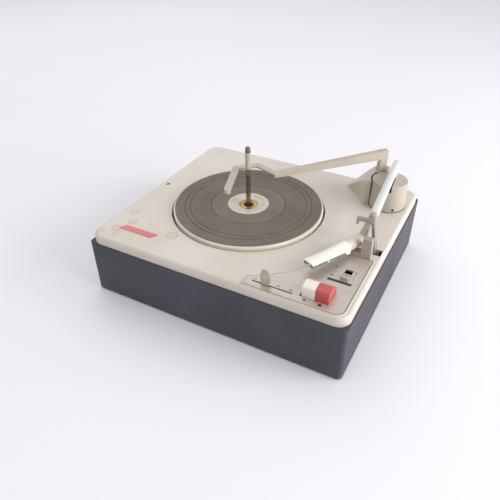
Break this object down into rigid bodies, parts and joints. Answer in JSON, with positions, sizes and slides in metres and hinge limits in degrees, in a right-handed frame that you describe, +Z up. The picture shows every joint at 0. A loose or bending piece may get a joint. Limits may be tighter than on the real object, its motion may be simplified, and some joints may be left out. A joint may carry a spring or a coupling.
{
  "type": "record changer",
  "caption": "Automatic record changer on a square plinth, with a tall stacking spindle, an overarm, a tonearm in a round turret, a speed lever and push keys.",
  "frame": {"origin": "middle of the plinth in plan, on the surface the feet stand on", "axes": "+X to the right along the front edge, +Y to the back, +Z up"},
  "size_m": [0.35, 0.308, 0.1787],
  "materials": {
    "dark_cloth": "dark blue-grey covering",
    "cream_enamel": "stoved enamel",
    "rubber_black": "matt",
    "rubber_mat": "matt ribbed",
    "panel_aluminium": "brushed",
    "red_plastic": "gloss",
    "badge_red": "enamel",
    "cream_plastic": "satin",
    "white_plastic": "satin",
    "grey_plastic": "satin",
    "cream_rim": "satin",
    "steel": "turned",
    "dark_steel": "blackened",
    "brass": "turned",
    "tube_metal": "polished",
    "copper_wrap": "varnished tape",
    "zinc": "die cast",
    "board": "hardboard",
    "wood_block": "sawn",
    "brown_plastic": "moulded"
  },
  "bodies": {
    "chassis": {"plinth_case": "dark_cloth", "base_board": "board", "rubber_feet": "rubber_black", "base_screws": "steel", "rear_gland": "rubber_black", "deck_plate": "cream_enamel", "corner_blocks": "wood_block", "deck_springs": "steel", "transit_screw": "steel", "control_panel": "panel_aluminium", "badge_plate": "badge_red", "key_guide": "steel", "arm_rest": "cream_plastic", "spindle_stem": "steel", "spindle_head": "grey_plastic", "spindle_cap": "dark_steel", "centre_bearing": "dark_steel", "thrust_race": "brass", "cam_gear": "zinc", "motor_core": "dark_steel", "motor_coils": "copper_wrap", "motor_brackets": "steel", "motor_grommets": "rubber_black", "idler_spring": "steel", "trip_slide": "steel", "power_switch": "brown_plastic", "terminal_strip": "brown_plastic", "arm_bearing": "brass", "turret_fairing": "cream_plastic", "overarm_bush": "brass"},
    "platter": {"platter": "cream_rim", "platter_mat": "rubber_mat", "hub_cap": "cream_plastic", "drive_pinion": "steel"},
    "idler_carrier": {"idler_arm": "steel"},
    "idler": {"idler_wheel": "steel", "idler_tyre": "rubber_black"},
    "rotor": {"motor_rotor": "steel", "motor_pulley": "brass"},
    "turret": {"turret_shell": "cream_plastic", "arm_pillar": "zinc", "pivot_pin": "steel"},
    "tonearm": {"arm_tube": "tube_metal", "pivot_block": "zinc", "counterweight": "dark_steel", "arm_elbow": "grey_plastic", "arm_collar": "grey_plastic", "head_shell": "white_plastic", "cartridge": "brown_plastic"},
    "stylus": {"stylus_lever": "white_plastic"},
    "overarm_post": {"overarm_shaft": "steel"},
    "overarm": {"overarm_beam": "cream_plastic", "overarm_hook": "cream_plastic"},
    "start": {"start_key": "cream_plastic"},
    "stop": {"stop_key": "red_plastic"},
    "speed": {"speed_knob": "grey_plastic", "speed_link": "steel"},
    "selector": {"selector_slider": "cream_plastic"},
    "lock": {"arm_lock": "steel"},
    "latch": {"spindle_latch": "steel"}
  },
  "joints": [
    {"name": "platter_spin", "type": "hinge", "parent": "chassis", "child": "platter", "pos_m": [-0.024, 0, 0.095], "axis": [0, 0, 1], "continuous": true},
    {"name": "idler_retract", "type": "hinge", "parent": "chassis", "child": "idler_carrier", "pos_m": [0.01861, 0.03608, 0.08], "axis": [0, 0, 1], "range_deg": [0, 3], "stiffness_Nm_per_rad": 0.2, "springref_deg": -1.15},
    {"name": "idler_spin", "type": "hinge", "parent": "idler_carrier", "child": "idler", "pos_m": [-0.00389, 0.07505, 0.084], "axis": [0, 0, 1], "continuous": true},
    {"name": "motor_spin", "type": "hinge", "parent": "chassis", "child": "rotor", "pos_m": [0.01792, 0.06921, 0.06], "axis": [0, 0, 1], "continuous": true},
    {"name": "arm_swing", "type": "hinge", "parent": "chassis", "child": "turret", "pos_m": [0.141, 0.0975, 0.118], "axis": [0, 0, 1], "range_deg": [-33, 0]},
    {"name": "arm_lift", "type": "hinge", "parent": "turret", "child": "tonearm", "pos_m": [0.141, 0.0975, 0.118], "axis": [-0.9963, -0.0854, 0], "range_deg": [0, 4.5]},
    {"name": "stylus_turn", "type": "hinge", "parent": "tonearm", "child": "stylus", "pos_m": [0.1313, -0.0436, 0.1006], "axis": [-0.4462, -0.8949, 0], "range_deg": [-180, 0]},
    {"name": "overarm_lift", "type": "slide", "parent": "chassis", "child": "overarm_post", "axis": [0, 0, 1], "range_m": [0, 0.022]},
    {"name": "overarm_swing", "type": "hinge", "parent": "overarm_post", "child": "overarm", "pos_m": [0.121, 0.1215, 0.14], "axis": [0, 0, 1], "range_deg": [-90, 0]},
    {"name": "start_press", "type": "slide", "parent": "chassis", "child": "start", "axis": [0, 0, -1], "range_m": [0, 0.003], "stiffness_N_per_m": 200, "springref_m": -0.002},
    {"name": "stop_press", "type": "slide", "parent": "chassis", "child": "stop", "axis": [0, 0, -1], "range_m": [0, 0.003], "stiffness_N_per_m": 200, "springref_m": -0.002},
    {"name": "speed_select", "type": "slide", "parent": "chassis", "child": "speed", "axis": [1, 0, 0], "range_m": [-0.0144, 0.029]},
    {"name": "selector_slide", "type": "slide", "parent": "chassis", "child": "selector", "axis": [0, 1, 0], "range_m": [0, 0.0095]},
    {"name": "lock_tilt", "type": "hinge", "parent": "chassis", "child": "lock", "pos_m": [0.1608, -0.0205, 0.084], "axis": [0, 1, 0], "range_deg": [0, 30]},
    {"name": "latch_slide", "type": "slide", "parent": "chassis", "child": "latch", "axis": [1, 0, 0], "range_m": [0, 0.0012]}
  ],
  "couplings": [
    {"joint": "idler_spin", "follows": "platter_spin", "ratio": 4.9},
    {"joint": "motor_spin", "follows": "platter_spin", "ratio": -42.9}
  ]
}
